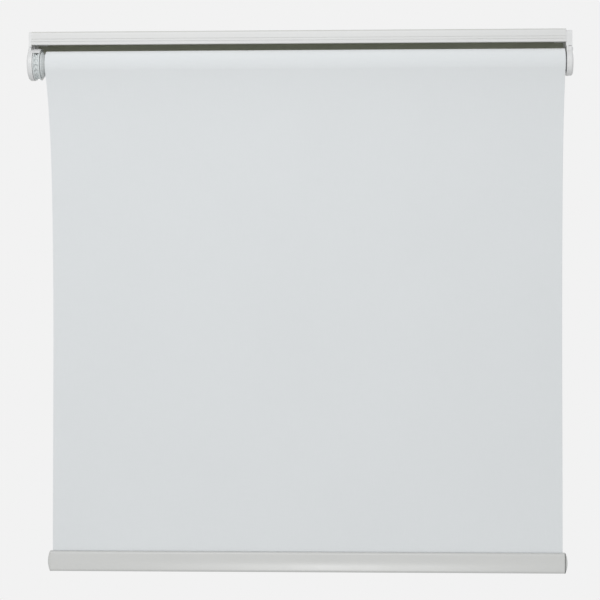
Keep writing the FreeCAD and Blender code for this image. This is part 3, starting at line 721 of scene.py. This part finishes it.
def hanging_line(drop):
    """y nears the wall plane as 1 - exp(-drop), plus a bow of sin squared of the fall."""
    leave = math.radians(-leave_deg)
    start_y = axis_y - outer_radius * math.cos(leave)
    rest = slot_y - start_y
    ease = rest * (1 - np.exp(-(drop - first_drop) * math.tan(leave) / rest))
    bow = fall_bow * np.sin(math.pi * (drop - first_drop) / (last_drop - first_drop)) ** 2
    return np.stack([start_y + ease + bow, axis_z - drop], axis=1)


slot_y = (bar_low.y + bar_high.y + cloth_thickness) / 2
first_drop = outer_radius * math.sin(math.radians(-leave_deg))
last_drop = axis_z - panel_low.z
wrap_deg = np.linspace(tuck_deg, leave_deg, wrap_steps)
wrap = round_axis(outer_radius - layer_step * (wrap_deg - leave_deg) / 360, wrap_deg)
fallen = np.linspace(0, 1, drop_steps)[1:] ** drop_crowding
drops = first_drop + (last_drop - first_drop) * fallen
profile = np.concatenate([wrap, hanging_line(drops)])
steps = np.linalg.norm(np.diff(profile, axis=0), axis=1)
run = np.concatenate([[0.0], np.cumsum(steps)])
cloth_width = panel_high.x - panel_low.x
print("hanging cloth:", round(cloth_width, 4), "by", round(run[-1], 4), "m")

# %% [markdown]
# ## From the line to the cloth
# Real cloth never hangs quite flat: its two cut edges curl back by half a millimetre
# where it hangs free. The columns crowd at the edges, by a cosine, so that the curl is
# round. Solidify then gives the sheet its thickness, with a material for each side.

# %% Mesh of the hanging cloth
width_steps = 56
edge_curl = 0.5 * mm
edge_reach = 9.0 * mm

across = (1 + np.cos(np.linspace(0, math.pi, width_steps))) / 2 * cloth_width
free_fall = np.sin(math.pi * np.clip((axis_z - profile[:, 1]) / last_drop, 0, 1)) ** 2
from_edge = np.minimum(across, cloth_width - across)
curl = edge_curl * np.exp(-from_edge / edge_reach)
points = np.empty((len(profile), width_steps, 3))
points[:, :, 0] = panel_low.x + across
points[:, :, 1] = profile[:, :1] + free_fall[:, None] * curl
points[:, :, 2] = profile[:, 1:]
flat_points = np.stack(np.broadcast_arrays(across[None, :], run[:, None]), axis=2)
hanging_cloth = surface("hanging_cloth", points, flat_points)


def thicken(piece, thickness):
    """Solidify to both sides, with a material of its own for the back and for the rim."""
    for material in (cloth_front, cloth_back, cloth_edge):
        piece.data.materials.append(material)
    wall = piece.modifiers.new("thickness", "SOLIDIFY")
    wall.thickness = thickness
    wall.offset = 0.0
    wall.material_offset = 1
    wall.material_offset_rim = 2


thicken(hanging_cloth, cloth_thickness)
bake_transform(hanging_cloth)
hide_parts("fabric_panel")

# %% [markdown]
# ## The wound cloth
# The rest of the cloth is wound on the tube under tension. It is one long spiral too:
# the radius grows by one layer a turn. The layers show only at the two ends of the
# roll, as fine rings. Its outer radius stays just under the outermost turn.

# %% Wound cloth
turn_steps = 72
tape_clearance = 0.25 * mm
last_turn_reach = 0.05 * mm
inner_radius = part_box("fabric_tape")[1].z - axis_z + tape_clearance
wound_radius = outer_radius - 2 * layer_step + last_turn_reach
wound_turns = (wound_radius - inner_radius) / layer_step
turn = np.linspace(0, wound_turns, int(wound_turns * turn_steps))
spiral = round_axis(inner_radius + layer_step * turn, 360 * turn)
wound_steps = np.linalg.norm(np.diff(spiral, axis=0), axis=1)
wound_run = np.concatenate([[0.0], np.cumsum(wound_steps)])
ends = np.array([0.0, cloth_width])
points = np.empty((len(spiral), 2, 3))
points[:, :, 0] = panel_low.x + ends
points[:, :, 1] = spiral[:, :1]
points[:, :, 2] = spiral[:, 1:]
flat_points = np.stack(np.broadcast_arrays(ends[None, :], wound_run[:, None]), axis=2)
wound_cloth = surface("wound_cloth", points, flat_points)
thicken(wound_cloth, cloth_thickness - layer_gap)
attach(wound_cloth, "roller")
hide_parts("fabric_roll")
print("wound cloth:", round(wound_turns, 1), "turns,", round(wound_run[-1], 3), "m long")

# %% View transform
scene = bpy.context.scene
scene.view_settings.view_transform = "Standard"
